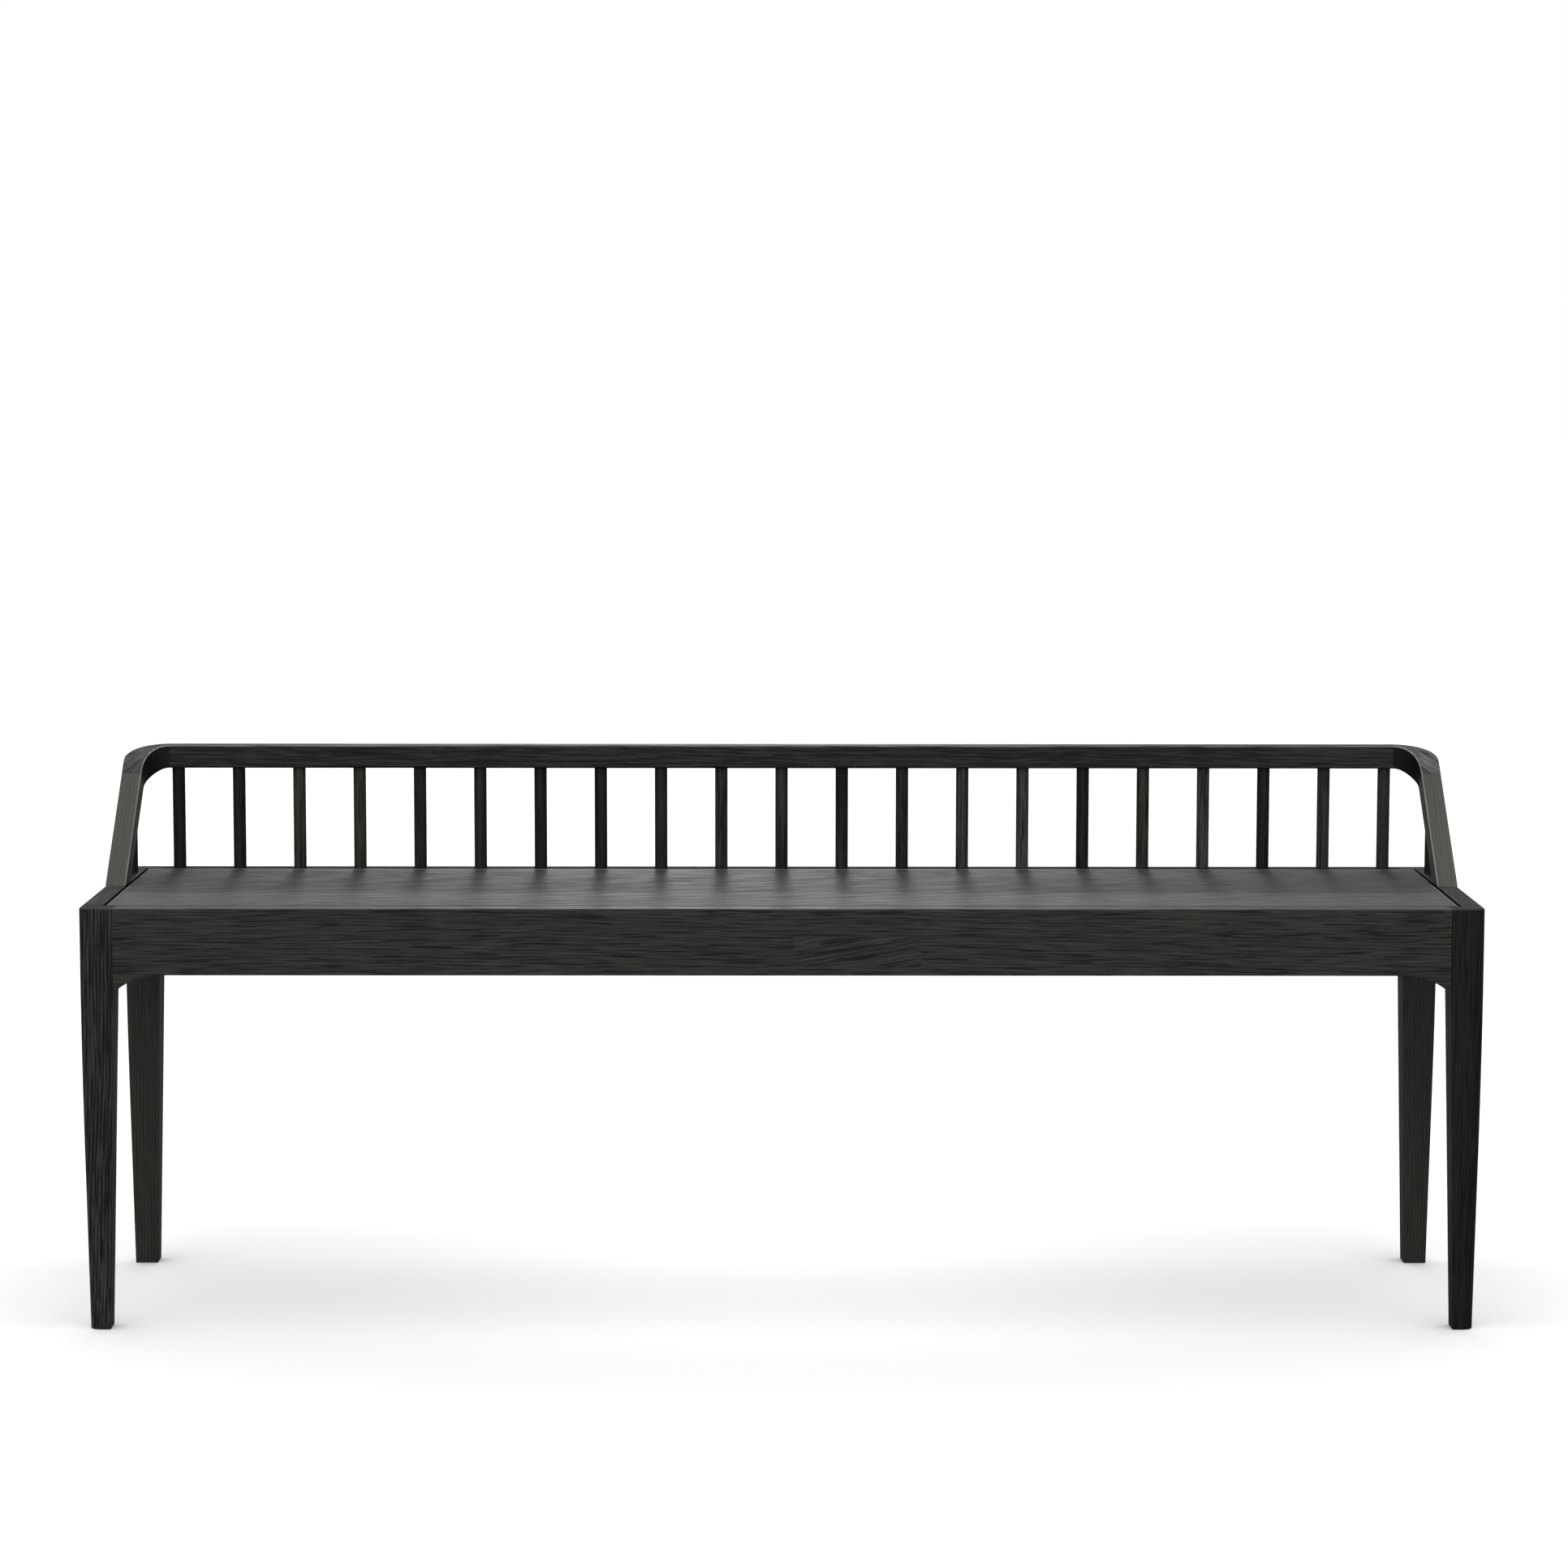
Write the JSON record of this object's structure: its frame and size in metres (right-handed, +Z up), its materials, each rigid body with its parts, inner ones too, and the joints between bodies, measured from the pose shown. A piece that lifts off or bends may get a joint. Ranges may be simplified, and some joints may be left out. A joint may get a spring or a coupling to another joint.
{
  "type": "spindle bench",
  "caption": "Long bench with a flat seat set flush inside its rails, tapered legs, and a low back of slim round spindles under a rail that bends and slopes down to the seat's ends.",
  "frame": {"origin": "On the floor, in the middle of the bench's outline seen from above.", "axes": "X runs along the bench, towards its left as someone sits on it and to the right of someone who faces it. Y runs from the front rail to the back. Z points up."},
  "size_m": [1.46, 0.35, 0.584],
  "materials": {
    "stained_oak": "black stain, satin, open pores",
    "frame_wood": "black stain, matt",
    "dowel_wood": "raw",
    "screw_steel": "zinc plated"
  },
  "bodies": {
    "root": {"arm_corner_dowels": "dowel_wood", "arm_foot_dowels": "dowel_wood", "back_cleat": "frame_wood", "back_left_leg": "stained_oak", "back_rail": "stained_oak", "back_right_leg": "stained_oak", "back_spindle_01": "stained_oak", "back_spindle_02": "stained_oak", "back_spindle_03": "stained_oak", "back_spindle_04": "stained_oak", "back_spindle_05": "stained_oak", "back_spindle_06": "stained_oak", "back_spindle_07": "stained_oak", "back_spindle_08": "stained_oak", "back_spindle_09": "stained_oak", "back_spindle_10": "stained_oak", "back_spindle_11": "stained_oak", "back_spindle_12": "stained_oak", "back_spindle_13": "stained_oak", "back_spindle_14": "stained_oak", "back_spindle_15": "stained_oak", "back_spindle_16": "stained_oak", "back_spindle_17": "stained_oak", "back_spindle_18": "stained_oak", "back_spindle_19": "stained_oak", "back_spindle_20": "stained_oak", "back_spindle_21": "stained_oak", "cleat_rail_screws": "screw_steel", "cleat_seat_screws": "screw_steel", "crest_corner_dowels": "dowel_wood", "crest_rail": "stained_oak", "cross_bearer_1": "frame_wood", "cross_bearer_2": "frame_wood", "cross_bearer_3": "frame_wood", "front_cleat": "frame_wood", "front_left_leg": "stained_oak", "front_rail": "stained_oak", "front_right_leg": "stained_oak", "left_arm": "stained_oak", "left_corner_block": "stained_oak", "left_end_cleat": "frame_wood", "left_side_rail": "stained_oak", "left_side_spindle": "stained_oak", "right_arm": "stained_oak", "right_corner_block": "stained_oak", "right_end_cleat": "frame_wood", "right_side_rail": "stained_oak", "right_side_spindle": "stained_oak", "seat_board_back": "stained_oak", "seat_board_front": "stained_oak", "seat_board_middle": "stained_oak"}
  },
  "joints": []
}
